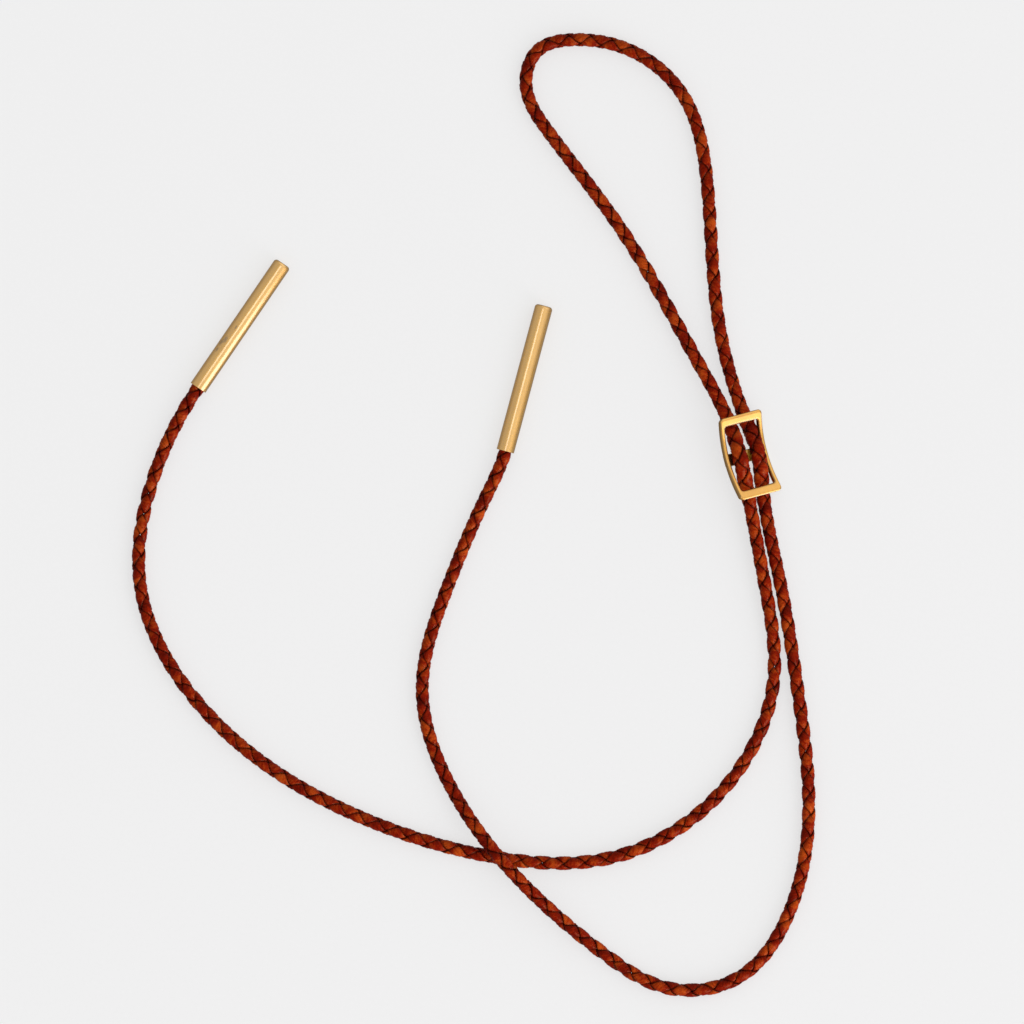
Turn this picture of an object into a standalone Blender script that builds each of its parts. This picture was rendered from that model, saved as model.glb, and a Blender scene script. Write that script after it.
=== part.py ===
"""Bolo tie: a round braided leather cord through a curved brass slide, with a brass tip on each end.

Metres, +Z up. The tie lies loose on a surface at z = 0, as one would lay it down to look at it.
The origin is on that surface, under the middle of the slide and the two tips.
"""
import bmesh
import bpy
import numpy as np
from math import ceil, copysign, cos, hypot, pi, radians, sin
from mathutils import Euler, Vector

MM = 0.001

# Cord: one round braid, lying on the floor except where something lifts it
CORD_D = 4.0 * MM
CORD_SEAT = 12.0 * MM           # how deep each end sits in its tip
TOUCH_GAP = 0.3 * MM            # between the cord and the brass or cord that it bears on
CORD_STEP = 20.0 * MM           # longest straight piece of the cord's centreline
CORD_TURN = radians(30)         # most that two pieces of it turn by
CORD_DETAIL = 3                 # gives ten sides
SPAN_SAMPLES = 40

# Tips: drawn tubes, closed at the far end
TIP_WALL = 0.4 * MM
TIP_LENGTH = 43.0 * MM
TIP_END_WALL = 0.8 * MM
BORE_CLEARANCE = 0.15 * MM      # all round the cord
TIP_END_R = 0.9 * MM            # rounded edge of the closed end
TIP_RIM_R = 0.12 * MM           # rounded edges of the mouth
TIP_SIDES = 40
TIP_ARC_STEPS = 4

TIP_LEFT_MOUTH = (-82.2 * MM, -2.4 * MM)
TIP_LEFT_HEADING = radians(55.7)
TIP_RIGHT_MOUTH = (5.5 * MM, -20.5 * MM)
TIP_RIGHT_HEADING = radians(75.0)

# Slide: a rectangular frame whose two rails dip in the middle, with a bar across its back
SLIDE_LENGTH = 24.3 * MM        # along the bent front face
SLIDE_WIDTH = 14.2 * MM
SLIDE_BEND_R = 25.0 * MM        # of the rails; the end bars are flat
RAIL_WIDTH = 1.35 * MM
RAIL_DEPTH = 1.7 * MM           # front face to back face
END_BAR_WIDTH = 2.7 * MM
END_BAR_DEPTH = 1.2 * MM
OUTER_CORNER_R = 1.1 * MM
WINDOW_CORNER_R = 0.9 * MM
SLIDE_EDGE_ACROSS = 0.9 * MM    # how far the rounding of a bar's edge reaches over its face
SLIDE_EDGE_DEEP = 0.54 * MM     # and down its side
CROSS_BAR_WIDTH = 3.6 * MM
CROSS_BAR_DEPTH = 1.2 * MM
CROSS_BAR_SEAT = 0.5 * MM       # how deep it is let into the rails
CROSS_BAR_INSET = 0.5 * MM      # how far it stays inside the slide's sides
CROSS_BAR_EDGE_R = 0.3 * MM
CROSS_BAR_EDGE_STEPS = 2
RAIL_STEPS = 22
END_STEPS = 6
CORNER_STEPS = 5
EDGE_STEPS = 4

EDGE_LIMIT = 0.45               # most of a wall's thickness that the rounding of an edge takes
ROUND_PROFILE = 0.5             # of a bevel that is a plain arc
SHARP_ANGLE = radians(35)       # edges sharper than this are not shaded smooth
MERGE_DISTANCE = 0.001 * MM

BRASS_COLOUR = (0.80, 0.56, 0.25)
BRASS_ROUGHNESS = 0.35
LEATHER_COLOUR = (0.30, 0.06, 0.01)
LEATHER_ROUGHNESS = 0.5

# The slide lies rolled on its right side, and the two strands carry its left side
SLIDE_PLACE = (74.5 * MM, -21.8 * MM)
SLIDE_YAW = radians(14.9)
SLIDE_PITCH = radians(0.0)
SLIDE_ROLL = radians(30.0)

# Where the two strands pass the slide, across it: at its lower end, over its bar, at its upper end
LEFT_STRAND = (-2.0 * MM, -3.1 * MM, -1.9 * MM)
RIGHT_STRAND = (3.2 * MM, 3.1 * MM, 3.7 * MM)

# Heights of the cord above where it lies on the floor
LYING = 0.0
OVER_CORD = CORD_D + TOUCH_GAP
NEAR_SLIDE = 1.0 * MM
LEAVING_SLIDE = 1.4 * MM

# The cord's route on the floor: x and y in millimetres, and its height above lying
FIRST_RUN = [
    (-95.5, -29.8, LYING),
    (-98.6, -59.5, LYING),
    (-85.6, -88.1, LYING),
    (-62.6, -110.2, LYING),
    (-32.6, -126.3, LYING),
    (3.0, -136.5, LYING),
    (35.5, -136.6, LYING),
    (64.8, -120.2, LYING),
    (82.0, -87.0, LYING),
    (79.4, -57.5, NEAR_SLIDE),
]
NECK_LOOP = [
    (61.0, 4.0, LEAVING_SLIDE),
    (38.9, 42.4, LYING),
    (18.0, 70.5, LYING),
    (11.4, 84.8, LYING),
    (14.7, 93.8, LYING),
    (26.0, 97.0, LYING),
    (43.0, 93.1, LYING),
    (56.0, 81.5, LYING),
    (63.0, 57.5, LYING),
    (66.5, 16.0, LYING),
]
LAST_RUN = [
    (84.0, -58.0, LYING),
    (89.4, -91.5, LYING),
    (92.1, -125.5, LYING),
    (86.3, -152.8, LYING),
    (72.4, -170.6, LYING),
    (52.1, -173.8, LYING),
    (34.1, -164.3, LYING),
    (3.3, -135.8, OVER_CORD),
    (-11.6, -113.3, LYING),
    (-18.2, -89.0, LYING),
    (-11.4, -60.4, LYING),
    (0.4, -32.6, LYING),
]


def clear_scene():
    """Removes whatever objects the open file holds."""
    for old in list(bpy.data.objects):
        bpy.data.objects.remove(old, do_unlink=True)


def principled(name, colour, roughness, metallic):
    """A plain Principled material."""
    material = bpy.data.materials.new(name)
    material.use_nodes = True
    shader = material.node_tree.nodes["Principled BSDF"]
    shader.inputs["Base Color"].default_value = (*colour, 1.0)
    shader.inputs["Roughness"].default_value = roughness
    shader.inputs["Metallic"].default_value = metallic
    return material


def add_mesh_object(name, mesh_maker, material):
    """A new object holding the finished bmesh, shaded smooth up to its sharp edges."""
    bmesh.ops.recalc_face_normals(mesh_maker, faces=mesh_maker.faces)
    mesh = bpy.data.meshes.new(name)
    mesh_maker.to_mesh(mesh)
    mesh_maker.free()
    mesh.shade_smooth()
    mesh.set_sharp_from_angle(angle=SHARP_ANGLE)
    mesh.materials.append(material)
    thing = bpy.data.objects.new(name, mesh)
    bpy.context.scene.collection.objects.link(thing)
    return thing


def arc_points(centre, radius, start, stop, steps):
    """Points on an arc in a plane, both ends included."""
    turns = [start + (stop - start) * i / steps for i in range(steps + 1)]
    return [(centre[0] + radius * cos(a), centre[1] + radius * sin(a)) for a in turns]


# Tip

def tip_radius():
    """Outer radius of a tip: the cord, its clearance and the wall."""
    return CORD_D / 2 + BORE_CLEARANCE + TIP_WALL


def tip_profile():
    """The wall from the bottom of the bore, round the mouth and along the outside, as radius and height."""
    outer = tip_radius()
    bore = outer - TIP_WALL
    bore_end = TIP_LENGTH - TIP_END_WALL
    end_r = min(TIP_END_R, EDGE_LIMIT * outer)
    rim_r = min(TIP_RIM_R, EDGE_LIMIT * TIP_WALL)
    points = [(0.0, bore_end), (bore, bore_end)]
    points += arc_points((bore + rim_r, rim_r), rim_r, pi, 1.5 * pi, TIP_ARC_STEPS)
    points += arc_points((outer - rim_r, rim_r), rim_r, -0.5 * pi, 0.0, TIP_ARC_STEPS)
    points += arc_points((outer - end_r, TIP_LENGTH - end_r), end_r, 0.0, 0.5 * pi, TIP_ARC_STEPS)
    points.append((0.0, TIP_LENGTH))
    return points


def add_tip(name, mouth, heading, material):
    """A tube whose own +Z runs from its mouth to its closed end, laid on the floor."""
    maker = bmesh.new()
    corners = [maker.verts.new((radius, 0.0, height)) for radius, height in tip_profile()]
    edges = [maker.edges.new(pair) for pair in zip(corners, corners[1:])]
    bmesh.ops.spin(
        maker,
        geom=corners + edges,
        axis=(0, 0, 1),
        angle=2 * pi,
        steps=TIP_SIDES,
        use_merge=True,
    )
    bmesh.ops.remove_doubles(maker, verts=maker.verts, dist=MERGE_DISTANCE)
    tip = add_mesh_object(name, maker, material)
    tip.location = (*mouth, tip_radius())
    tip.rotation_euler = (0.0, pi / 2, heading)
    return tip


# Slide

def bent_reach():
    """How far the bend reaches from the middle of the slide, along its front face."""
    return SLIDE_LENGTH / 2 - END_BAR_WIDTH


def bent(across, along, height):
    """The place of a point of the flat slide once its rails are bent."""
    bent_part = min(abs(along), bent_reach())
    flat_part = abs(along) - bent_part
    turn = bent_part / SLIDE_BEND_R
    radius = SLIDE_BEND_R - height
    forward = radius * sin(turn) + flat_part * cos(turn)
    up = SLIDE_BEND_R - radius * cos(turn) + flat_part * sin(turn)
    return Vector((across, copysign(forward, along), up))


def rounded_rectangle(half_across, half_along, corner):
    """One closed outline, with the same number of points whatever its size."""
    straight_across = half_across - corner
    straight_along = half_along - corner
    side = [-1 + 2 * i / RAIL_STEPS for i in range(1, RAIL_STEPS)]
    end = [-1 + 2 * i / END_STEPS for i in range(1, END_STEPS)]
    points = [(half_across, straight_along * t) for t in side]
    points += arc_points((straight_across, straight_along), corner, 0.0, 0.5 * pi, CORNER_STEPS)
    points += [(-straight_across * t, half_along) for t in end]
    points += arc_points((-straight_across, straight_along), corner, 0.5 * pi, pi, CORNER_STEPS)
    points += [(-half_across, -straight_along * t) for t in side]
    points += arc_points((-straight_across, -straight_along), corner, pi, 1.5 * pi, CORNER_STEPS)
    points += [(straight_across * t, -half_along) for t in end]
    points += arc_points((straight_across, -straight_along), corner, 1.5 * pi, 2 * pi, CORNER_STEPS)
    return points


def bar_section(width, depth):
    """Section of a bar of the frame, from its window side out, as distance and height."""
    across = min(SLIDE_EDGE_ACROSS, EDGE_LIMIT * width)
    deep = min(SLIDE_EDGE_DEEP, EDGE_LIMIT * depth)
    front = -deep
    back = deep - depth
    corners = [(across, front, pi), (width - across, front, 0.5 * pi)]
    corners += [(width - across, back, 0.0), (across, back, -0.5 * pi)]
    points = []
    for middle, height, start in corners:
        quarter = arc_points((0.0, 0.0), 1.0, start, start - 0.5 * pi, EDGE_STEPS)
        points += [(middle + across * x, height + deep * y) for x, y in quarter]
    return points


def bar_depth(window_along):
    """Depth of the frame beside a point of its window: full on the rails, less on the end bars."""
    past_rail = abs(window_along) - (bent_reach() - WINDOW_CORNER_R)
    share = min(max(past_rail / WINDOW_CORNER_R, 0.0), 1.0)
    return RAIL_DEPTH + (END_BAR_DEPTH - RAIL_DEPTH) * share


def frame_mesh():
    """The bent frame without its cross bar."""
    outside = rounded_rectangle(SLIDE_WIDTH / 2, SLIDE_LENGTH / 2, OUTER_CORNER_R)
    window = rounded_rectangle(SLIDE_WIDTH / 2 - RAIL_WIDTH, bent_reach(), WINDOW_CORNER_R)
    maker = bmesh.new()
    rings = []
    for (out_across, out_along), (in_across, in_along) in zip(outside, window):
        width = hypot(out_across - in_across, out_along - in_along)
        ring = []
        for distance, height in bar_section(width, bar_depth(in_along)):
            share = distance / width
            across = in_across + (out_across - in_across) * share
            along = in_along + (out_along - in_along) * share
            ring.append(maker.verts.new(bent(across, along, height)))
        rings.append(ring)
    for ring, following in zip(rings, rings[1:] + rings[:1]):
        for j in range(len(ring)):
            k = (j + 1) % len(ring)
            maker.faces.new((ring[j], ring[k], following[k], following[j]))
    return maker


def cross_bar_top():
    """Height of the cross bar's front face in the slide."""
    return CROSS_BAR_SEAT - RAIL_DEPTH


def cross_bar_mesh():
    """The flat bar across the back, with its long edges softened."""
    maker = bmesh.new()
    bmesh.ops.create_cube(maker, size=1.0)
    size = Vector((SLIDE_WIDTH - 2 * CROSS_BAR_INSET, CROSS_BAR_WIDTH, CROSS_BAR_DEPTH))
    bmesh.ops.scale(maker, vec=size, verts=maker.verts)
    middle = Vector((0.0, 0.0, cross_bar_top() - CROSS_BAR_DEPTH / 2))
    bmesh.ops.translate(maker, vec=middle, verts=maker.verts)
    bmesh.ops.bevel(
        maker,
        geom=list(maker.edges),
        offset=min(CROSS_BAR_EDGE_R, EDGE_LIMIT * CROSS_BAR_DEPTH),
        segments=CROSS_BAR_EDGE_STEPS,
        profile=ROUND_PROFILE,
        affect="EDGES",
    )
    return maker


def slide_turn():
    """Rolled about its own length, then pitched, then turned on the floor."""
    return Euler((SLIDE_PITCH, SLIDE_ROLL, SLIDE_YAW), "YXZ")


def add_slide(material):
    """The frame and its cross bar as one body, resting on its lowest point."""
    slide = add_mesh_object("slide", frame_mesh(), material)
    bar = add_mesh_object("cross_bar", cross_bar_mesh(), material)
    bar.parent = slide
    bar.hide_render = True
    bar.display_type = "WIRE"
    joined = slide.modifiers.new("cross_bar", "BOOLEAN")
    joined.operation = "UNION"
    joined.solver = "EXACT"
    joined.object = bar

    turn = slide_turn().to_matrix()
    corners = list(slide.data.vertices) + list(bar.data.vertices)
    lowest = min((turn @ corner.co).z for corner in corners)
    slide.rotation_mode = "YXZ"
    slide.rotation_euler = slide_turn()
    slide.location = (*SLIDE_PLACE, -lowest)
    return slide


# Cord

def strand_through(slide, places):
    """Three points of a strand: under the lower end bar, over the cross bar, under the upper end bar."""
    radius = CORD_D / 2
    under = bent(0.0, bent_reach(), -END_BAR_DEPTH)
    under_height = under.z - TOUCH_GAP - radius
    over_height = cross_bar_top() + TOUCH_GAP + radius
    lower, middle, upper = places
    turn = slide_turn().to_matrix()
    spots = [
        Vector((lower, -under.y, under_height)),
        Vector((middle, 0.0, over_height)),
        Vector((upper, under.y, under_height)),
    ]
    return [slide.location + turn @ spot for spot in spots]


def on_floor(points):
    """Route points as places of the cord's middle."""
    return [Vector((x * MM, y * MM, CORD_D / 2 + height)) for x, y, height in points]


def heading_out(tip_heading):
    """The way the cord leaves a tip's mouth."""
    return Vector((-cos(tip_heading), -sin(tip_heading), 0.0))


def cord_route(slide):
    """All the points that the cord passes, from the left tip's mouth to the right tip's."""
    left_up = strand_through(slide, LEFT_STRAND)
    right_down = strand_through(slide, RIGHT_STRAND)[::-1]
    first_mouth = [Vector((*TIP_LEFT_MOUTH, tip_radius()))]
    last_mouth = [Vector((*TIP_RIGHT_MOUTH, tip_radius()))]
    out = first_mouth + on_floor(FIRST_RUN) + left_up + on_floor(NECK_LOOP)
    return out + right_down + on_floor(LAST_RUN) + last_mouth


def level_slopes(lengths, heights):
    """Slopes for the heights that never overshoot: level at every top and bottom."""
    steps = np.diff(heights) / lengths
    slopes = np.zeros(len(heights))
    for i in range(1, len(heights) - 1):
        before, after = steps[i - 1], steps[i]
        if before * after > 0:
            slopes[i] = 2 * before * after / (before + after)
    return slopes


def smooth_slopes(lengths, places, first, last):
    """Slopes of the one smooth curve through the places that starts and ends the given ways."""
    count = len(places)
    matrix = np.zeros((count, count))
    wanted = np.zeros((count, 2))
    steps = np.diff(places, axis=0) / lengths[:, None]
    matrix[0, 0] = matrix[-1, -1] = 1.0
    wanted[0] = first
    wanted[-1] = last
    for i in range(1, count - 1):
        before, after = lengths[i - 1], lengths[i]
        matrix[i, i - 1 : i + 2] = (after, 2 * (before + after), before)
        wanted[i] = 3 * (after * steps[i - 1] + before * steps[i])
    return np.linalg.solve(matrix, wanted)


def smooth_line(route, first, last):
    """Many points along a smooth curve through the route."""
    places = np.array(route)
    lengths = np.linalg.norm(np.diff(places, axis=0), axis=1)
    flat = smooth_slopes(lengths, places[:, :2], first, last)
    slopes = np.column_stack((flat, level_slopes(lengths, places[:, 2])))
    line = []
    for i, length in enumerate(lengths):
        for t in np.linspace(0.0, 1.0, SPAN_SAMPLES, endpoint=False):
            line.append(
                (2 * t**3 - 3 * t**2 + 1) * places[i]
                + (t**3 - 2 * t**2 + t) * length * slopes[i]
                + (3 * t**2 - 2 * t**3) * places[i + 1]
                + (t**3 - t**2) * length * slopes[i + 1]
            )
    line.append(places[-1])
    return np.array(line)


def thinned(line):
    """Fewer points of the same line, closer together where it bends."""
    pieces = np.diff(line, axis=0)
    lengths = np.linalg.norm(pieces, axis=1)
    ways = pieces / lengths[:, None]
    turns = np.arccos(np.clip((ways[:-1] * ways[1:]).sum(axis=1), -1.0, 1.0))
    turns = np.append(turns, 0.0)
    needed = np.append(0.0, np.cumsum(lengths / CORD_STEP + turns / CORD_TURN))
    wanted = np.linspace(0.0, needed[-1], ceil(needed[-1]) + 1)
    return np.column_stack([np.interp(wanted, needed, line[:, axis]) for axis in range(3)])


def add_cord(slide, material):
    """The cord as a plain tube along its whole centreline, with both ends in their tips."""
    route = cord_route(slide)
    out = heading_out(TIP_LEFT_HEADING)
    back = -heading_out(TIP_RIGHT_HEADING)
    line = thinned(smooth_line(route, out[:2], back[:2]))
    seats = [route[0] - out * CORD_SEAT, route[-1] + back * CORD_SEAT]
    points = [seats[0], *line, seats[1]]

    curve = bpy.data.curves.new("cord", "CURVE")
    curve.dimensions = "3D"
    curve.bevel_depth = CORD_D / 2
    curve.bevel_resolution = CORD_DETAIL
    curve.use_fill_caps = True
    spline = curve.splines.new("POLY")
    spline.points.add(len(points) - 1)
    for spot, place in zip(spline.points, points):
        spot.co = (*place, 1.0)
    curve.materials.append(material)
    cord = bpy.data.objects.new("cord", curve)
    bpy.context.scene.collection.objects.link(cord)
    return cord


def build():
    """Makes the whole tie."""
    clear_scene()
    brass = principled("brass", BRASS_COLOUR, BRASS_ROUGHNESS, 1.0)
    leather = principled("leather", LEATHER_COLOUR, LEATHER_ROUGHNESS, 0.0)
    add_tip("tip_left", TIP_LEFT_MOUTH, TIP_LEFT_HEADING, brass)
    add_tip("tip_right", TIP_RIGHT_MOUTH, TIP_RIGHT_HEADING, brass)
    slide = add_slide(brass)
    add_cord(slide, leather)


build()
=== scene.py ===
"""Looks of the bolo tie: braided leather, brushed brass, floor, light and camera.

Metres, +Z up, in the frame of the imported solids. The three brass pieces and the cord are made
again here with finer surfaces, from the same sizes as the solids.
"""
from math import copysign, cos, hypot, pi, radians, sin

import bmesh
import bpy
import numpy as np
from mathutils import Euler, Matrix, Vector


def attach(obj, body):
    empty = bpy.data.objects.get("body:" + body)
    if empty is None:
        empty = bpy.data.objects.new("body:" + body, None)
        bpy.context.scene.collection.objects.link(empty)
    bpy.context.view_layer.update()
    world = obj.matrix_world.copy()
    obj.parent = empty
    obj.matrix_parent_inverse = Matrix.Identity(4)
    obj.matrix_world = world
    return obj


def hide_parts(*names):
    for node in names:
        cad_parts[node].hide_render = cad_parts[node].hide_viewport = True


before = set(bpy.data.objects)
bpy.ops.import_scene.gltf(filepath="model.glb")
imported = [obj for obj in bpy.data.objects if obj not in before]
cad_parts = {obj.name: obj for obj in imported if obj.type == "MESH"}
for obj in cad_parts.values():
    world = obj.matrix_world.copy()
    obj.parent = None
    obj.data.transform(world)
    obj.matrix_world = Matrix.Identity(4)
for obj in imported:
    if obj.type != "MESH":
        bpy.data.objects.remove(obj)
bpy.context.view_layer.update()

MM = 0.001

# Sizes of the solids
CORD_D = 4.0 * MM
CORD_SEAT = 12.0 * MM           # of cord inside a tip
TOUCH_GAP = 0.3 * MM            # between the cord and what it lies against

TIP_WALL = 0.4 * MM
TIP_LENGTH = 43.0 * MM
TIP_END_WALL = 0.8 * MM
BORE_CLEARANCE = 0.15 * MM      # all round the cord in a tip
TIP_END_R = 0.9 * MM
TIP_RIM_R = 0.12 * MM
TIP_LEFT_MOUTH = (-82.2 * MM, -2.4 * MM)
TIP_LEFT_HEADING = radians(55.7)
TIP_RIGHT_MOUTH = (5.5 * MM, -20.5 * MM)
TIP_RIGHT_HEADING = radians(75.0)

SLIDE_LENGTH = 24.3 * MM
SLIDE_WIDTH = 14.2 * MM
SLIDE_BEND_R = 25.0 * MM
RAIL_WIDTH = 1.35 * MM
RAIL_DEPTH = 1.7 * MM
END_BAR_WIDTH = 2.7 * MM
END_BAR_DEPTH = 1.2 * MM
OUTER_CORNER_R = 1.1 * MM
WINDOW_CORNER_R = 0.9 * MM
SLIDE_EDGE_ACROSS = 0.9 * MM    # how far the rounding of a bar's edge reaches over its face
SLIDE_EDGE_DEEP = 0.54 * MM     # and down its side
EDGE_LIMIT = 0.45               # the most that a rounding takes of a width or depth
CROSS_BAR_WIDTH = 3.6 * MM
CROSS_BAR_DEPTH = 1.2 * MM
CROSS_BAR_SEAT = 0.5 * MM       # how deep it is let into the rails
CROSS_BAR_INSET = 0.5 * MM      # how far it stays inside the slide's sides
CROSS_BAR_EDGE_R = 0.3 * MM
SLIDE_PLACE = (74.5 * MM, -21.8 * MM)
SLIDE_YAW = radians(14.9)
SLIDE_PITCH = radians(0.0)
SLIDE_ROLL = radians(30.0)

# Fineness of the surfaces made here
TIP_SIDES = 96
TIP_ARC_STEPS = 8
RAIL_STEPS = 48
END_STEPS = 12
CORNER_STEPS = 10
EDGE_STEPS = 8
CROSS_BAR_EDGE_STEPS = 6
ROUND_PROFILE = 0.5             # a bevel as a quarter circle
SPAN_SAMPLES = 40
MERGE_DISTANCE = 0.001 * MM
SHARP_ANGLE = radians(40)

# The cord's route, as in the solids: x and y in millimetres, and its height above lying
LEFT_STRAND = (-2.0 * MM, -3.1 * MM, -1.9 * MM)
RIGHT_STRAND = (3.2 * MM, 3.1 * MM, 3.7 * MM)
LYING = 0.0
OVER_CORD = CORD_D + TOUCH_GAP
NEAR_SLIDE = 1.0 * MM
LEAVING_SLIDE = 1.4 * MM
FIRST_RUN = [
    (-95.5, -29.8, LYING),
    (-98.6, -59.5, LYING),
    (-85.6, -88.1, LYING),
    (-62.6, -110.2, LYING),
    (-32.6, -126.3, LYING),
    (3.0, -136.5, LYING),
    (35.5, -136.6, LYING),
    (64.8, -120.2, LYING),
    (82.0, -87.0, LYING),
    (79.4, -57.5, NEAR_SLIDE),
]
NECK_LOOP = [
    (61.0, 4.0, LEAVING_SLIDE),
    (38.9, 42.4, LYING),
    (18.0, 70.5, LYING),
    (11.4, 84.8, LYING),
    (14.7, 93.8, LYING),
    (26.0, 97.0, LYING),
    (43.0, 93.1, LYING),
    (56.0, 81.5, LYING),
    (63.0, 57.5, LYING),
    (66.5, 16.0, LYING),
]
LAST_RUN = [
    (84.0, -58.0, LYING),
    (89.4, -91.5, LYING),
    (92.1, -125.5, LYING),
    (86.3, -152.8, LYING),
    (72.4, -170.6, LYING),
    (52.1, -173.8, LYING),
    (34.1, -164.3, LYING),
    (3.3, -135.8, OVER_CORD),
    (-11.6, -113.3, LYING),
    (-18.2, -89.0, LYING),
    (-11.4, -60.4, LYING),
    (0.4, -32.6, LYING),
]

# Braid: four flat strands, two winding each way, each over and under the others in turn
BRAID_PITCH = 12.1 * MM         # along the cord, for one turn of a strand
BRAID_R = 1.17 * MM             # from the cord's middle to the middle of a strand, on average
BRAID_WAVE = 0.42 * MM          # how far a strand rises over the others and dips under them
WAVE_SHARPNESS = 2.2            # how flat the wave's crests are
STRAND_THICKNESS = 0.86 * MM
STRAND_HALF_TURN = radians(84)  # half a strand's width, round the cord
STRAND_CROWN = 3.0              # how square a strand's section is
RING_STEP = 0.46 * MM
OUTER_POINTS = 8                # of a strand's section
INNER_POINTS = 2
BRAID_SEED = 7
PLACE_JITTER = radians(4)
SIZE_JITTER = 0.05
STARTS_APART = 10               # how far apart the strands lie in the leather's noise, by start
WAYS_APART = 5                  # and by the way they wind

# How the braid is turned about the cord: distance along it in millimetres, and degrees
BRAID_TURNS = [
    (0, -90), (30, -50), (45, 0), (57, 0), (66, 40), (92, 50), (107, 90), (125, 45), (172, 45),
    (182, 70), (202, 45), (222, -5), (312, -5), (345, 35), (402, 35), (437, 0), (462, 45),
    (572, 45), (602, 10), (645, 40), (695, 40), (752, 0), (792, 45), (857, 0), (900, 45),
    (1042, 40),
]

# How much wider than high the cord is, where the slide presses it: distance and share
CORD_SPREAD = [
    (362, 0.0), (370, 0.16), (388, 0.16), (396, 0.0),
    (649, 0.0), (657, 0.16), (676, 0.16), (684, 0.0),
]

# Camera and image
IMAGE_PIXELS = 1024
PIXELS_PER_METRE = 3500.0
ORIGIN_PIXEL = (486.0, 379.5)
CAMERA_HEIGHT = 3.0
SENSOR = 36.0
FLOOR_SIZE = 6.0

# Leather
LEATHER_DARK = (0.074, 0.0010, 0.0001)
LEATHER_MID = (0.168, 0.0055, 0.0003)
LEATHER_LIGHT = (0.335, 0.0450, 0.0040)
# Burnish on the strands' edges and painted shade in the seams and where strands dip
LEATHER_BURNISH_AND_SHADE = (0.022, 0.0006, 0.0001)
LEATHER_TINT = (1.0, 0.70, 0.35, 1.0)
LEATHER_SPECULAR = 0.08
LEATHER_ROUGHNESS = (0.22, 0.36)
SHADE_STOPS = (0.36, 0.49, 0.64)
FACET_STRETCH = (0.20, 0.15, 1.0)   # the facets' shades, along and across a strand
FACET_SHARE = 0.6
MOTTLE_STRETCH = (0.8, 1.6, 1.0)
MOTTLE_SCALE = 1.6
MOTTLE_SHARE = 0.4
GRAIN_STRETCH = (1.0, 1.7, 1.0)
GRAIN_SCALE = 9.0
GRAIN_DEPTH = 0.03 * MM
EDGE_RANGE = (0.76, 0.98)           # where a strand darkens towards its edge: burnish, and painted shade in the seams
DIP_SHADE_RANGE = (0.38, 0.82)            # and painted shade where it dips under another

# Brass
TIP_SHADES = ((0.86, 0.44, 0.035), (0.92, 0.495, 0.045))
TIP_STRETCH = (1400.0, 1400.0, 18.0)
TIP_ROUGHNESS = (0.38, 0.40)
SLIDE_SHADES = ((0.76, 0.36, 0.030), (0.85, 0.425, 0.040))
SLIDE_STRETCH = (1200.0, 240.0, 1200.0)
SLIDE_ROUGHNESS = (0.32, 0.38)
# How strongly the slide gets painted highlight and painted shade, by which way its faces turn
SLIDE_PAINTED_LIGHT = 0.9
SLIDE_COAT = 0.45
BRASS_TINT = (0.75, 0.62, 0.45, 1.0)
COAT_IOR = 2.5
COAT_ROUGHNESS = 0.16
STREAK_STOPS = (0.38, 0.60)
BLOTCH_SCALE = 220.0
BLOTCH_SHARE = 0.5
BRUSHED_SHARE = 0.5
SCRATCH_DEPTH = 0.0005 * MM
# Painted highlight for faces turned one way; the dark colour is the left tip's real tarnish spots
# and also painted shade on faces turned the other way
BRASS_PAINTED_HIGHLIGHT = (1.0, 0.78, 0.45)
BRASS_TARNISH_AND_SHADE = (0.26, 0.13, 0.01)
LIT_WAY = (0.75, -0.66, 0.0)     # in the slide's own axes
PAINTED_HIGHLIGHT_RANGE = (0.25, 0.60)         # how squarely a face turns that way, to get painted highlight
PAINTED_SHADE_RANGE = (-0.65, -0.30)         # and how squarely it turns away, to get painted shade
PAINTED_SHADE_SHARE = 0.8

# Dark spots on the left tip, in its own axes, and their sizes; each is longer along the tip
TARNISH = [
    ((-2.45 * MM, 0.71 * MM, 20.4 * MM), 0.5 * MM),
    ((-2.22 * MM, 1.26 * MM, 15.9 * MM), 0.9 * MM),
    ((-1.85 * MM, 1.76 * MM, 14.4 * MM), 0.8 * MM),
    ((-2.00 * MM, 1.58 * MM, 12.2 * MM), 0.6 * MM),
]
SPOT_SHAPE = (1.0, 1.0, 0.5)
SPOT_STRENGTH = 0.7
SPOT_CORE = 0.7                     # of a spot's size, where it starts to fade
SPOT_RIM = 1.3                      # and where it ends
WOBBLE_SCALE = 1500.0

# In all the materials
NOISE_RANGE = (0.3, 0.7)            # where most of a noise's values lie
BUMP_STRENGTH = 0.5
WHITE = (1.0, 1.0, 1.0, 1.0)

# Floor
FLOOR_COLOUR = (0.30, 0.30, 0.30)
FLOOR_FIBRE = (0.32, 0.32, 0.32)
FIBRE_SCALE = 900.0
PAPER_ROUGHNESS = 0.9
PAPER_SPECULAR = 0.1
FLOOR_GLOW = 0.62

# Surroundings
ROOM_LEVEL = 0.70                   # above the horizon
ROOM_BELOW = 0.42                   # and below it, as the brass sees them
ROOM_HORIZON = (-0.3, 0.3)          # between these heights one passes into the other

# Brighter parts of them: where, how far round it as a cosine, and how much brighter
GLOWS = [((0.50, -0.12, 0.85), 0.80, 0.42), ((0.62, 0.72, 0.30), 0.60, 0.75)]

# Softboxes: which way they stand, how far off, their size and their radiance
KEY_LIGHT = ((0.68, -0.61, 0.41), 1.4, (0.45, 1.15), 2.5)
KEY_COLOUR = (1.0, 0.92, 1.0)
TOP_LIGHT = ((-0.04, 0.02, 1.0), 1.8, (0.5, 0.5), 1.9)
CORD_WASH = ((0.58, -0.64, 0.50), 1.4, (0.9, 0.9), 8.0)
SLIDE_RIM = ((0.88, -0.38, 0.28), 1.4, (0.7, 0.6), 1.4)
SLIDE_BOUNCE = ((0.64, -0.64, -0.40), 1.4, (1.2, 0.7), 1.6)


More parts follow.
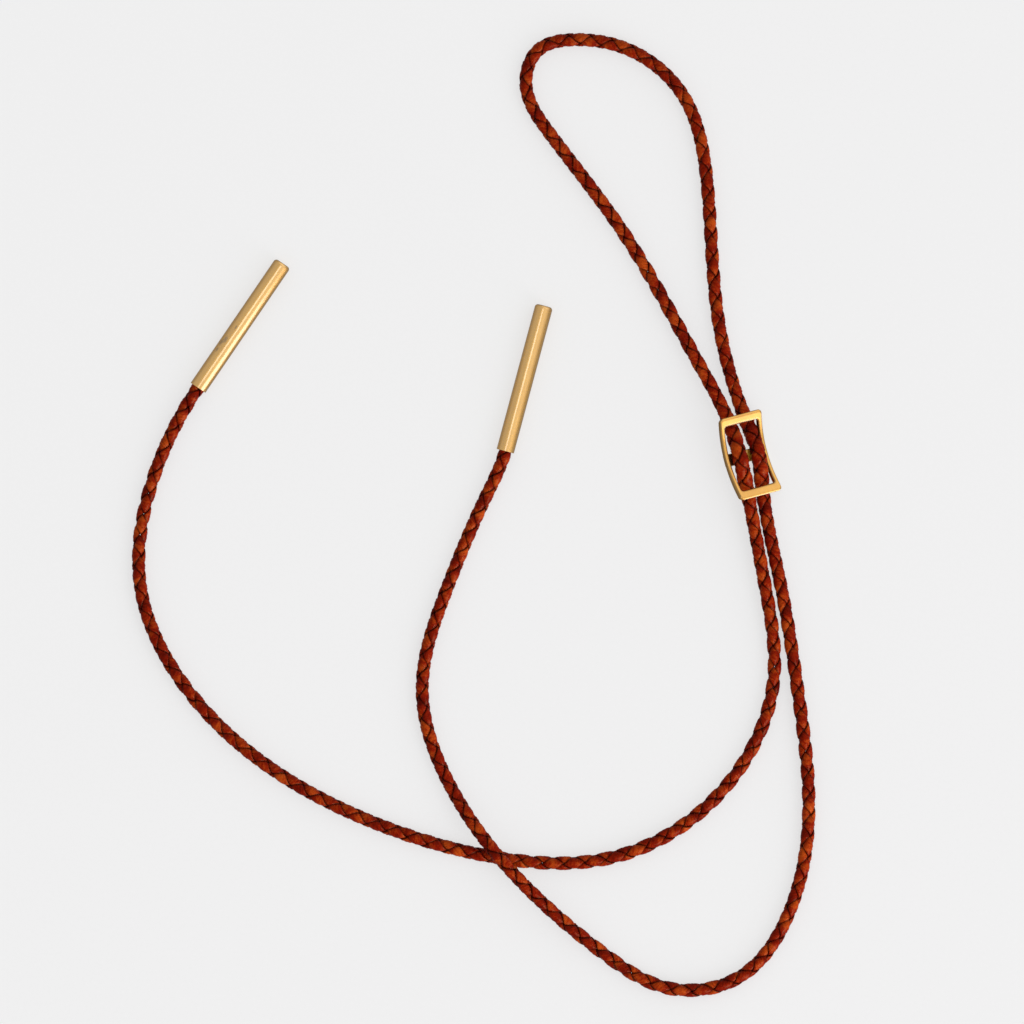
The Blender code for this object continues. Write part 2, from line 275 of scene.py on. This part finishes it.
def new_camera():
    """Looks straight down with a long lens, framed as the photograph is."""
    data = bpy.data.cameras.new("camera")
    data.sensor_width = SENSOR
    data.sensor_fit = "HORIZONTAL"
    data.lens = SENSOR * CAMERA_HEIGHT * PIXELS_PER_METRE / IMAGE_PIXELS
    data.clip_end = 2 * FLOOR_SIZE
    camera = bpy.data.objects.new("camera", data)
    half = IMAGE_PIXELS / 2
    across = (half - ORIGIN_PIXEL[0]) / PIXELS_PER_METRE
    up = (ORIGIN_PIXEL[1] - half) / PIXELS_PER_METRE
    camera.location = (across, up, CAMERA_HEIGHT)
    bpy.context.scene.collection.objects.link(camera)
    bpy.context.scene.camera = camera


# Materials

def add_node(tree, kind, inputs=None, **settings):
    """A shader node with its settings and its input values."""
    node = tree.nodes.new("ShaderNode" + kind)
    for name, value in settings.items():
        setattr(node, name, value)
    for name, value in (inputs or {}).items():
        node.inputs[name].default_value = value
    return node


def link(tree, start, end):
    """Joins two sockets."""
    tree.links.new(start, end)


def add_ramp(tree, factor, stops):
    """A colour ramp through (position, colour) stops, driven by a socket."""
    ramp = add_node(tree, "ValToRGB")
    elements = ramp.color_ramp.elements
    while len(elements) > 1:
        elements.remove(elements[-1])
    for i, (position, colour) in enumerate(stops):
        element = elements[0] if i == 0 else elements.new(position)
        element.position = position
        element.color = (*colour, 1.0)
    link(tree, factor, ramp.inputs["Fac"])
    return ramp.outputs["Color"]


def add_range(tree, value, source, target):
    """A value mapped from one range to another and held inside it."""
    node = add_node(tree, "MapRange", {"From Min": source[0], "From Max": source[1]})
    node.inputs["To Min"].default_value = target[0]
    node.inputs["To Max"].default_value = target[1]
    link(tree, value, node.inputs["Value"])
    return node.outputs["Result"]


def add_math(tree, operation, first, second):
    """One step of arithmetic, on sockets or numbers."""
    node = add_node(tree, "Math", operation=operation)
    for socket, value in zip(node.inputs, (first, second)):
        if isinstance(value, (int, float)):
            socket.default_value = value
        else:
            link(tree, value, socket)
    return node.outputs["Value"]


def add_scaled(tree, vector, scale):
    """A vector with each part multiplied."""
    node = add_node(tree, "VectorMath", {1: scale}, operation="MULTIPLY")
    link(tree, vector, node.inputs[0])
    return node.outputs["Vector"]


def add_measure(tree, operation, vector, other):
    """A number from a vector and a fixed one, such as their distance."""
    node = add_node(tree, "VectorMath", {1: other}, operation=operation)
    link(tree, vector, node.inputs[0])
    return node.outputs["Value"]


def add_sum(tree, first, first_share, second, second_share):
    """Two values added, each with its share."""
    shared = add_math(tree, "MULTIPLY", first, first_share)
    return add_math(tree, "ADD", shared, add_math(tree, "MULTIPLY", second, second_share))


def add_noise(tree, vector, scale, detail=2.0, roughness=0.5):
    """Noise from 0 to 1 at the given scale."""
    node = add_node(tree, "TexNoise", {"Scale": scale, "Detail": detail, "Roughness": roughness})
    link(tree, vector, node.inputs["Vector"])
    return node.outputs["Fac"]


def add_mix(tree, factor, first, second):
    """Two colours mixed by a socket."""
    node = add_node(tree, "Mix", data_type="RGBA")
    link(tree, factor, node.inputs["Factor"])
    link(tree, first, node.inputs[6])
    node.inputs[7].default_value = (*second, 1.0)
    return node.outputs[2]


def add_bump(tree, height, distance):
    """A bump of the given height in metres."""
    node = add_node(tree, "Bump", {"Strength": BUMP_STRENGTH, "Distance": distance})
    link(tree, height, node.inputs["Height"])
    return node.outputs["Normal"]


def new_material(name, **constants):
    """A Principled material; constants are set on its sockets."""
    material = bpy.data.materials.new(name)
    material.use_nodes = True
    tree = material.node_tree
    shader = tree.nodes["Principled BSDF"]
    for socket, value in constants.items():
        shader.inputs[socket.replace("_", " ")].default_value = value
    return material, tree, shader


def leather():
    """Cognac leather, each facet its own tone; burnished edges, painted shade in seams and dips."""
    material, tree, shader = new_material(
        "cord_leather",
        Metallic=0.0,
        Specular_IOR_Level=LEATHER_SPECULAR,
        Specular_Tint=LEATHER_TINT,
    )
    strand = add_node(tree, "Attribute", attribute_name="strand").outputs["Vector"]
    parts = add_node(tree, "SeparateXYZ")
    link(tree, strand, parts.inputs[0])
    level = add_node(tree, "Attribute", attribute_name="level").outputs["Fac"]

    facets = add_noise(tree, add_scaled(tree, strand, FACET_STRETCH), 1.0, detail=1.0)
    spread = add_scaled(tree, strand, MOTTLE_STRETCH)
    mottle = add_noise(tree, spread, MOTTLE_SCALE, detail=5.0, roughness=0.6)
    shade = add_sum(tree, facets, FACET_SHARE, mottle, MOTTLE_SHARE)
    shades = (LEATHER_DARK, LEATHER_MID, LEATHER_LIGHT)
    colour = add_ramp(tree, shade, zip(SHADE_STOPS, shades))

    # Darker towards a strand's edges for burnish and painted seam shade, and painted shade where it
    # dips under another
    across = add_math(tree, "ABSOLUTE", parts.outputs["Y"], 0.0)
    edge = add_range(tree, across, EDGE_RANGE, (0.0, 1.0))
    dip_shade = add_range(tree, level, DIP_SHADE_RANGE, (1.0, 0.0))
    dark = add_math(tree, "MAXIMUM", edge, dip_shade)
    colour = add_mix(tree, dark, colour, LEATHER_BURNISH_AND_SHADE)
    link(tree, colour, shader.inputs["Base Color"])

    gloss = add_range(tree, mottle, NOISE_RANGE, LEATHER_ROUGHNESS)
    link(tree, gloss, shader.inputs["Roughness"])
    spread = add_scaled(tree, strand, GRAIN_STRETCH)
    grain = add_noise(tree, spread, GRAIN_SCALE, detail=4.0, roughness=0.65)
    link(tree, add_bump(tree, grain, GRAIN_DEPTH), shader.inputs["Normal"])
    return material


def brass(name, stretch, roughness, shades=TIP_SHADES, spots=(), painted_light=0.0, coat=1.0):
    """Brushed, lacquered brass: fine scratches, streaks and dark spots.

    Faces turned one way get a painted highlight, and faces turned the other way painted shade.
    """
    material, tree, shader = new_material(
        name,
        Metallic=1.0,
        Specular_Tint=BRASS_TINT,
        Coat_Weight=coat,
        Coat_IOR=COAT_IOR,
        Coat_Roughness=COAT_ROUGHNESS,
    )
    coordinates = add_node(tree, "TexCoord").outputs
    place = coordinates["Object"]
    brushed = add_noise(tree, add_scaled(tree, place, stretch), 1.0, roughness=0.6)
    blotch = add_noise(tree, place, BLOTCH_SCALE, detail=3.0)
    streak = add_sum(tree, blotch, BLOTCH_SHARE, brushed, BRUSHED_SHARE)
    colour = add_ramp(tree, streak, zip(STREAK_STOPS, shades))

    wobble = add_noise(tree, place, WOBBLE_SCALE)
    squeezed = add_scaled(tree, place, SPOT_SHAPE)
    for spot, size in spots:
        centre = tuple(a * b for a, b in zip(spot, SPOT_SHAPE))
        offset = add_measure(tree, "DISTANCE", squeezed, centre)
        reach = add_math(tree, "ADD", offset, add_math(tree, "MULTIPLY", wobble, size))
        mark = add_range(tree, reach, (size * SPOT_CORE, size * SPOT_RIM), (SPOT_STRENGTH, 0.0))
        colour = add_mix(tree, mark, colour, BRASS_TARNISH_AND_SHADE)

    # Painted highlight on faces turned one way, painted shade on faces turned the other
    facing = add_measure(tree, "DOT_PRODUCT", coordinates["Normal"], LIT_WAY)
    painted_highlight = add_range(tree, facing, PAINTED_HIGHLIGHT_RANGE, (0.0, painted_light))
    colour = add_mix(tree, painted_highlight, colour, BRASS_PAINTED_HIGHLIGHT)
    painted_shade = add_range(tree, facing, PAINTED_SHADE_RANGE, (PAINTED_SHADE_SHARE * painted_light, 0.0))
    colour = add_mix(tree, painted_shade, colour, BRASS_TARNISH_AND_SHADE)
    link(tree, colour, shader.inputs["Base Color"])

    link(tree, add_range(tree, brushed, NOISE_RANGE, roughness), shader.inputs["Roughness"])
    link(tree, add_bump(tree, brushed, SCRATCH_DEPTH), shader.inputs["Normal"])
    return material


def floor_material():
    """Pale paper, lit a little from behind as on a light table."""
    material, tree, shader = new_material(
        "floor_paper",
        Metallic=0.0,
        Roughness=PAPER_ROUGHNESS,
        Specular_IOR_Level=PAPER_SPECULAR,
        Emission_Color=WHITE,
        Emission_Strength=FLOOR_GLOW,
    )
    place = add_node(tree, "TexCoord").outputs["Object"]
    fibre = add_noise(tree, place, FIBRE_SCALE, detail=3.0)
    paper = add_ramp(tree, fibre, [(0.0, FLOOR_COLOUR), (1.0, FLOOR_FIBRE)])
    link(tree, paper, shader.inputs["Base Color"])
    return material


# Shapes shared with the solids

def tip_radius():
    """Outer radius of a tip."""
    return CORD_D / 2 + BORE_CLEARANCE + TIP_WALL


def arc_points(centre, radius, start, stop, steps):
    """Points on an arc in a plane, both ends included."""
    turns = [start + (stop - start) * i / steps for i in range(steps + 1)]
    return [(centre[0] + radius * cos(a), centre[1] + radius * sin(a)) for a in turns]


def finished(name, mesh_maker, material):
    """A new smooth object holding the finished bmesh."""
    bmesh.ops.recalc_face_normals(mesh_maker, faces=mesh_maker.faces)
    mesh = bpy.data.meshes.new(name)
    mesh_maker.to_mesh(mesh)
    mesh_maker.free()
    mesh.shade_smooth()
    mesh.set_sharp_from_angle(angle=SHARP_ANGLE)
    mesh.materials.append(material)
    thing = bpy.data.objects.new(name, mesh)
    bpy.context.scene.collection.objects.link(thing)
    return thing


# Tip

def tip_profile():
    """The wall from the bore's bottom round the mouth and along the outside: radius and height."""
    outer = tip_radius()
    bore = outer - TIP_WALL
    bore_end = TIP_LENGTH - TIP_END_WALL
    points = [(0.0, bore_end), (bore, bore_end)]
    for centre, radius, start in (
        ((bore + TIP_RIM_R, TIP_RIM_R), TIP_RIM_R, pi),
        ((outer - TIP_RIM_R, TIP_RIM_R), TIP_RIM_R, -0.5 * pi),
        ((outer - TIP_END_R, TIP_LENGTH - TIP_END_R), TIP_END_R, 0.0),
    ):
        points += arc_points(centre, radius, start, start + 0.5 * pi, TIP_ARC_STEPS)
    points.append((0.0, TIP_LENGTH))
    return points


def add_tip(name, node, mouth, heading, material):
    """A tube whose own +Z runs from its mouth to its closed end, laid on the floor."""
    maker = bmesh.new()
    corners = [maker.verts.new((radius, 0.0, height)) for radius, height in tip_profile()]
    edges = [maker.edges.new(pair) for pair in zip(corners, corners[1:])]
    bmesh.ops.spin(
        maker,
        geom=corners + edges,
        axis=(0, 0, 1),
        angle=2 * pi,
        steps=TIP_SIDES,
        use_merge=True,
    )
    bmesh.ops.remove_doubles(maker, verts=maker.verts, dist=MERGE_DISTANCE)
    tip = finished(name, maker, material)
    tip.location = (*mouth, tip_radius())
    tip.rotation_euler = (0.0, pi / 2, heading)
    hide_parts(node)
    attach(tip, "root")
    return tip


# Slide

def bent_reach():
    """How far the bend reaches from the middle of the slide, along its front face."""
    return SLIDE_LENGTH / 2 - END_BAR_WIDTH


def bent(across, along, height):
    """The place of a point of the flat slide once its rails are bent."""
    bent_part = min(abs(along), bent_reach())
    flat_part = abs(along) - bent_part
    turn = bent_part / SLIDE_BEND_R
    radius = SLIDE_BEND_R - height
    forward = radius * sin(turn) + flat_part * cos(turn)
    up = SLIDE_BEND_R - radius * cos(turn) + flat_part * sin(turn)
    return Vector((across, copysign(forward, along), up))


def rounded_rectangle(half_across, half_along, corner):
    """One closed outline, with the same number of points whatever its size."""
    straight_across = half_across - corner
    straight_along = half_along - corner
    side = [-1 + 2 * i / RAIL_STEPS for i in range(1, RAIL_STEPS)]
    end = [-1 + 2 * i / END_STEPS for i in range(1, END_STEPS)]
    points = [(half_across, straight_along * t) for t in side]
    points += arc_points((straight_across, straight_along), corner, 0.0, 0.5 * pi, CORNER_STEPS)
    points += [(-straight_across * t, half_along) for t in end]
    points += arc_points((-straight_across, straight_along), corner, 0.5 * pi, pi, CORNER_STEPS)
    points += [(-half_across, -straight_along * t) for t in side]
    points += arc_points((-straight_across, -straight_along), corner, pi, 1.5 * pi, CORNER_STEPS)
    points += [(straight_across * t, -half_along) for t in end]
    points += arc_points((straight_across, -straight_along), corner, 1.5 * pi, 2 * pi, CORNER_STEPS)
    return points


def bar_section(width, depth):
    """Section of a bar of the frame, from its window side out, as distance and height."""
    across = min(SLIDE_EDGE_ACROSS, EDGE_LIMIT * width)
    deep = min(SLIDE_EDGE_DEEP, EDGE_LIMIT * depth)
    front = -deep
    back = deep - depth
    corners = [(across, front, pi), (width - across, front, 0.5 * pi)]
    corners += [(width - across, back, 0.0), (across, back, -0.5 * pi)]
    points = []
    for middle, height, start in corners:
        quarter = arc_points((0.0, 0.0), 1.0, start, start - 0.5 * pi, EDGE_STEPS)
        points += [(middle + across * x, height + deep * y) for x, y in quarter]
    return points


def bar_depth(window_along):
    """Depth of the frame beside a point of its window: full on the rails, less on the end bars."""
    past_rail = abs(window_along) - (bent_reach() - WINDOW_CORNER_R)
    share = min(max(past_rail / WINDOW_CORNER_R, 0.0), 1.0)
    return RAIL_DEPTH + (END_BAR_DEPTH - RAIL_DEPTH) * share


def frame_mesh():
    """The bent frame without its cross bar."""
    outside = rounded_rectangle(SLIDE_WIDTH / 2, SLIDE_LENGTH / 2, OUTER_CORNER_R)
    window = rounded_rectangle(SLIDE_WIDTH / 2 - RAIL_WIDTH, bent_reach(), WINDOW_CORNER_R)
    maker = bmesh.new()
    rings = []
    for (out_across, out_along), (in_across, in_along) in zip(outside, window):
        width = hypot(out_across - in_across, out_along - in_along)
        ring = []
        for distance, height in bar_section(width, bar_depth(in_along)):
            share = distance / width
            across = in_across + (out_across - in_across) * share
            along = in_along + (out_along - in_along) * share
            ring.append(maker.verts.new(bent(across, along, height)))
        rings.append(ring)
    for ring, following in zip(rings, rings[1:] + rings[:1]):
        for j in range(len(ring)):
            k = (j + 1) % len(ring)
            maker.faces.new((ring[j], ring[k], following[k], following[j]))
    return maker


def cross_bar_top():
    """Height of the cross bar's front face in the slide."""
    return CROSS_BAR_SEAT - RAIL_DEPTH


def cross_bar_mesh():
    """The flat bar across the back, with its long edges softened."""
    maker = bmesh.new()
    bmesh.ops.create_cube(maker, size=1.0)
    size = Vector((SLIDE_WIDTH - 2 * CROSS_BAR_INSET, CROSS_BAR_WIDTH, CROSS_BAR_DEPTH))
    bmesh.ops.scale(maker, vec=size, verts=maker.verts)
    middle = Vector((0.0, 0.0, cross_bar_top() - CROSS_BAR_DEPTH / 2))
    bmesh.ops.translate(maker, vec=middle, verts=maker.verts)
    bmesh.ops.bevel(
        maker,
        geom=list(maker.edges),
        offset=CROSS_BAR_EDGE_R,
        segments=CROSS_BAR_EDGE_STEPS,
        profile=ROUND_PROFILE,
        affect="EDGES",
    )
    return maker


def slide_turn():
    """Rolled about its own length, then pitched, then turned on the floor."""
    return Euler((SLIDE_PITCH, SLIDE_ROLL, SLIDE_YAW), "YXZ")


def add_slide(material):
    """The frame and its cross bar as one body."""
    slide = finished("slide_brass", frame_mesh(), material)
    bar = finished("slide_cross_bar", cross_bar_mesh(), material)
    joined = slide.modifiers.new("cross_bar", "BOOLEAN")
    joined.operation = "UNION"
    joined.solver = "EXACT"
    joined.object = bar
    bpy.context.view_layer.update()
    graph = bpy.context.evaluated_depsgraph_get()
    whole = bpy.data.meshes.new_from_object(slide.evaluated_get(graph))
    slide.modifiers.clear()
    slide.data = whole
    bpy.data.objects.remove(bar)

    turn = slide_turn().to_matrix()
    lowest = min((turn @ corner.co).z for corner in whole.vertices)
    slide.rotation_mode = "YXZ"
    slide.rotation_euler = slide_turn()
    slide.location = (*SLIDE_PLACE, -lowest)
    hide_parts("slide")
    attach(slide, "root")
    return slide


# Cord

def strand_through(place, spots_across):
    """The cord's places under the lower end bar, over the cross bar and under the upper end bar."""
    radius = CORD_D / 2
    under = bent(0.0, bent_reach(), -END_BAR_DEPTH)
    under_height = under.z - TOUCH_GAP - radius
    over_height = cross_bar_top() + TOUCH_GAP + radius
    lower, middle, upper = spots_across
    turn = slide_turn().to_matrix()
    spots = [
        Vector((lower, -under.y, under_height)),
        Vector((middle, 0.0, over_height)),
        Vector((upper, under.y, under_height)),
    ]
    return [place + turn @ spot for spot in spots]


def on_floor(points):
    """Route points as places of the cord's middle."""
    return [Vector((x * MM, y * MM, CORD_D / 2 + height)) for x, y, height in points]


def heading_out(tip_heading):
    """The way the cord leaves a tip's mouth."""
    return Vector((-cos(tip_heading), -sin(tip_heading), 0.0))


def cord_route(place):
    """All the points that the cord passes, from the left tip's mouth to the right tip's."""
    left_up = strand_through(place, LEFT_STRAND)
    right_down = strand_through(place, RIGHT_STRAND)[::-1]
    first_mouth = [Vector((*TIP_LEFT_MOUTH, tip_radius()))]
    last_mouth = [Vector((*TIP_RIGHT_MOUTH, tip_radius()))]
    to_loop = first_mouth + on_floor(FIRST_RUN) + left_up + on_floor(NECK_LOOP)
    return to_loop + right_down + on_floor(LAST_RUN) + last_mouth


def level_slopes(lengths, heights):
    """Slopes for the heights that never overshoot: level at every top and bottom."""
    steps = np.diff(heights) / lengths
    slopes = np.zeros(len(heights))
    for i in range(1, len(heights) - 1):
        before, after = steps[i - 1], steps[i]
        if before * after > 0:
            slopes[i] = 2 * before * after / (before + after)
    return slopes


def smooth_slopes(lengths, places, first, last):
    """Slopes of the one smooth curve through the places that starts and ends the given ways."""
    count = len(places)
    matrix = np.zeros((count, count))
    wanted = np.zeros((count, 2))
    steps = np.diff(places, axis=0) / lengths[:, None]
    matrix[0, 0] = matrix[-1, -1] = 1.0
    wanted[0] = first
    wanted[-1] = last
    for i in range(1, count - 1):
        before, after = lengths[i - 1], lengths[i]
        matrix[i, i - 1 : i + 2] = (after, 2 * (before + after), before)
        wanted[i] = 3 * (after * steps[i - 1] + before * steps[i])
    return np.linalg.solve(matrix, wanted)


def smooth_line(route, first, last):
    """Many points along a smooth curve through the route."""
    places = np.array(route)
    lengths = np.linalg.norm(np.diff(places, axis=0), axis=1)
    flat = smooth_slopes(lengths, places[:, :2], first, last)
    slopes = np.column_stack((flat, level_slopes(lengths, places[:, 2])))
    line = []
    for i, length in enumerate(lengths):
        for t in np.linspace(0.0, 1.0, SPAN_SAMPLES, endpoint=False):
            line.append(
                (2 * t**3 - 3 * t**2 + 1) * places[i]
                + (t**3 - 2 * t**2 + t) * length * slopes[i]
                + (3 * t**2 - 2 * t**3) * places[i + 1]
                + (t**3 - t**2) * length * slopes[i + 1]
            )
    line.append(places[-1])
    return np.array(line)


def centreline(place):
    """The cord's whole middle line, with both ends in their tips, as evenly spaced points."""
    route = cord_route(place)
    out = heading_out(TIP_LEFT_HEADING)
    back = -heading_out(TIP_RIGHT_HEADING)
    line = smooth_line(route, out[:2], back[:2])
    seats = [route[0] - out * CORD_SEAT, route[-1] + back * CORD_SEAT]
    line = np.vstack((seats[0], line, seats[1]))
    lengths = np.linalg.norm(np.diff(line, axis=0), axis=1)
    distance = np.append(0.0, np.cumsum(lengths))
    wanted = np.linspace(0.0, distance[-1], round(distance[-1] / RING_STEP) + 1)
    return wanted, np.column_stack([np.interp(wanted, distance, line[:, k]) for k in range(3)])


def slow_noise(random, distance, period):
    """A smooth wander between -1 and 1 along the cord."""
    knots = np.arange(0.0, distance[-1] + 2 * period, period)
    return np.interp(distance, knots, random.uniform(-1.0, 1.0, len(knots)))


def section_places():
    """Places round a strand's section: -1 to 1 across it, and whether on its outer face."""
    outer = np.sin(np.linspace(-0.5 * pi, 0.5 * pi, OUTER_POINTS))
    inner = np.linspace(1.0, -1.0, INNER_POINTS + 2)[1:-1]
    across = np.append(outer, inner)
    face = np.append(np.ones(OUTER_POINTS), -np.ones(INNER_POINTS))
    return across, face


def strand_points(random, distance, line, sides, ups, way, start):
    """The surface of one strand: points as rings along it, with where each lies on the strand."""
    across, face = section_places()
    turn = np.radians(np.interp(distance / MM, *np.array(BRAID_TURNS, float).T))
    place = way * 2 * pi * distance / BRAID_PITCH + start
    place = place + PLACE_JITTER * slow_noise(random, distance, BRAID_PITCH / 2)
    width = STRAND_HALF_TURN * (1 + SIZE_JITTER * slow_noise(random, distance, BRAID_PITCH / 2))
    thick = STRAND_THICKNESS * (1 + SIZE_JITTER * slow_noise(random, distance, BRAID_PITCH / 2))
    offset = width[:, None] * across[None, :]
    foot = place[:, None] + offset / 2
    swing = way * np.tanh(WAVE_SHARPNESS * np.cos(2 * foot)) / np.tanh(WAVE_SHARPNESS)
    body = (1 - np.abs(across) ** STRAND_CROWN) ** 0.5
    radius = BRAID_R + BRAID_WAVE * swing + face * body * thick[:, None] / 2
    angle = place[:, None] + offset + turn[:, None]
    spread = np.interp(distance / MM, *np.array(CORD_SPREAD).T)[:, None]
    points = (
        line[:, None, :]
        + ((1 - spread / 2) * radius * np.cos(angle))[:, :, None] * ups[:, None, :]
        + ((1 + spread) * radius * np.sin(angle))[:, :, None] * sides[:, None, :]
    )
    lowest = BRAID_R - BRAID_WAVE
    highest = BRAID_R + BRAID_WAVE + STRAND_THICKNESS / 2
    level = (radius - lowest) / (highest - lowest)
    along = np.repeat(distance[:, None], len(across), axis=1)
    apart = np.full_like(along, STARTS_APART * start + WAYS_APART * way)
    where = np.stack((along / MM, np.tile(across, (len(distance), 1)), apart), axis=2)
    return points, where, level


def ring_faces(rings, sides, first):
    """Quads between rings of points, and one face over each end."""
    ring = np.arange(rings - 1)[:, None] * sides
    side = np.arange(sides)[None, :]
    following = (side + 1) % sides
    corners = (ring + side, ring + following, ring + sides + following, ring + sides + side)
    quads = (np.stack(corners, axis=2).reshape(-1, 4) + first).tolist()
    caps = [list(range(first + sides - 1, first - 1, -1))]
    caps.append(list(range(first + (rings - 1) * sides, first + rings * sides)))
    return quads + caps


def add_cord(place, material):
    """The braided cord: four strands as one mesh."""
    distance, line = centreline(place)
    ways = np.gradient(line, axis=0)
    ways /= np.linalg.norm(ways, axis=1)[:, None]
    ups = np.array([0.0, 0.0, 1.0]) - ways[:, 2:3] * ways
    ups /= np.linalg.norm(ups, axis=1)[:, None]
    sides = np.cross(ups, ways)
    random = np.random.RandomState(BRAID_SEED)
    points, where, levels, faces = [], [], [], []
    for way in (1, -1):
        for start in (0.0, pi):
            surface, spots, level = strand_points(random, distance, line, sides, ups, way, start)
            first = sum(len(block) for block in points)
            faces += ring_faces(len(distance), surface.shape[1], first)
            points.append(surface.reshape(-1, 3))
            where.append(spots.reshape(-1, 3))
            levels.append(level.reshape(-1))
    mesh = bpy.data.meshes.new("cord_braid")
    mesh.from_pydata(np.vstack(points).tolist(), [], faces)
    on_strand = mesh.attributes.new("strand", "FLOAT_VECTOR", "POINT")
    on_strand.data.foreach_set("vector", np.vstack(where).ravel())
    raised = mesh.attributes.new("level", "FLOAT", "POINT")
    raised.data.foreach_set("value", np.concatenate(levels))
    maker = bmesh.new()
    maker.from_mesh(mesh)
    bmesh.ops.recalc_face_normals(maker, faces=maker.faces)
    maker.to_mesh(mesh)
    maker.free()
    mesh.shade_smooth()
    mesh.materials.append(material)
    cord = bpy.data.objects.new("cord_braid", mesh)
    bpy.context.scene.collection.objects.link(cord)
    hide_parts("cord")
    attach(cord, "root")
    return cord


# Floor and light

def add_floor():
    """A large pale surface under the tie."""
    mesh = bpy.data.meshes.new("floor")
    half = FLOOR_SIZE / 2
    corners = [(-half, -half, 0), (half, -half, 0), (half, half, 0), (-half, half, 0)]
    mesh.from_pydata(corners, [], [(0, 1, 2, 3)])
    mesh.materials.append(floor_material())
    floor = bpy.data.objects.new("floor", mesh)
    bpy.context.scene.collection.objects.link(floor)
    floor.visible_glossy = False


def add_softbox(name, towards, distance, size, radiance):
    """A rectangular light that faces the tie from the given direction."""
    data = bpy.data.lights.new(name, "AREA")
    data.shape = "RECTANGLE"
    data.size, data.size_y = size
    data.energy = radiance * pi * size[0] * size[1]
    light = bpy.data.objects.new(name, data)
    direction = Vector(towards).normalized()
    light.location = direction * distance
    light.rotation_euler = direction.to_track_quat("Z", "Y").to_euler()
    bpy.context.scene.collection.objects.link(light)
    light.visible_camera = False
    return light


def keep_light_to(light, thing, blocker):
    """Lets a light fall on one object only, and only the blocker shade it."""
    lit = bpy.data.collections.new(light.name)
    lit.objects.link(thing)
    light.light_linking.receiver_collection = lit
    blockers = bpy.data.collections.new(light.name + "_blockers")
    blockers.objects.link(blocker)
    light.light_linking.blocker_collection = blockers


def add_room():
    """Pale surroundings, brighter overhead and to the right and dimmer below the horizon."""
    world = bpy.data.worlds.new("room")
    world.use_nodes = True
    tree = world.node_tree
    tree.nodes.clear()
    out = add_node(tree, "OutputWorld")
    background = add_node(tree, "Background")
    link(tree, background.outputs[0], out.inputs["Surface"])
    way = add_node(tree, "TexCoord").outputs["Generated"]
    parts = add_node(tree, "SeparateXYZ")
    link(tree, way, parts.inputs[0])
    level = add_range(tree, parts.outputs["Z"], ROOM_HORIZON, (ROOM_BELOW, ROOM_LEVEL))
    for towards, reach, brighter in GLOWS:
        facing = add_measure(tree, "DOT_PRODUCT", way, tuple(Vector(towards).normalized()))
        glow = add_range(tree, facing, (reach, 1.0), (0.0, brighter))
        level = add_math(tree, "ADD", level, glow)
    link(tree, level, background.inputs["Strength"])
    bpy.context.scene.world = world


add_room()
new_camera()
bpy.context.scene.view_settings.view_transform = "Standard"
leather_material = leather()
tip_material = brass("tip_brass", TIP_STRETCH, TIP_ROUGHNESS)
spotted_material = brass("tip_brass_spotted", TIP_STRETCH, TIP_ROUGHNESS, spots=TARNISH)
slide_material = brass(
    "slide_brass",
    SLIDE_STRETCH,
    SLIDE_ROUGHNESS,
    shades=SLIDE_SHADES,
    painted_light=SLIDE_PAINTED_LIGHT,
    coat=SLIDE_COAT,
)
slide = add_slide(slide_material)
cord = add_cord(slide.location.copy(), leather_material)
add_tip("tip_left_brass", "tip_left", TIP_LEFT_MOUTH, TIP_LEFT_HEADING, spotted_material)
add_tip("tip_right_brass", "tip_right", TIP_RIGHT_MOUTH, TIP_RIGHT_HEADING, tip_material)
add_floor()
key = add_softbox("key", *KEY_LIGHT)
key.data.color = KEY_COLOUR
keep_light_to(add_softbox("wash", *CORD_WASH), cord, blocker=cord)
add_softbox("top", *TOP_LIGHT)
keep_light_to(add_softbox("rim", *SLIDE_RIM), slide, blocker=cord)
keep_light_to(add_softbox("bounce", *SLIDE_BOUNCE), slide, blocker=cord)
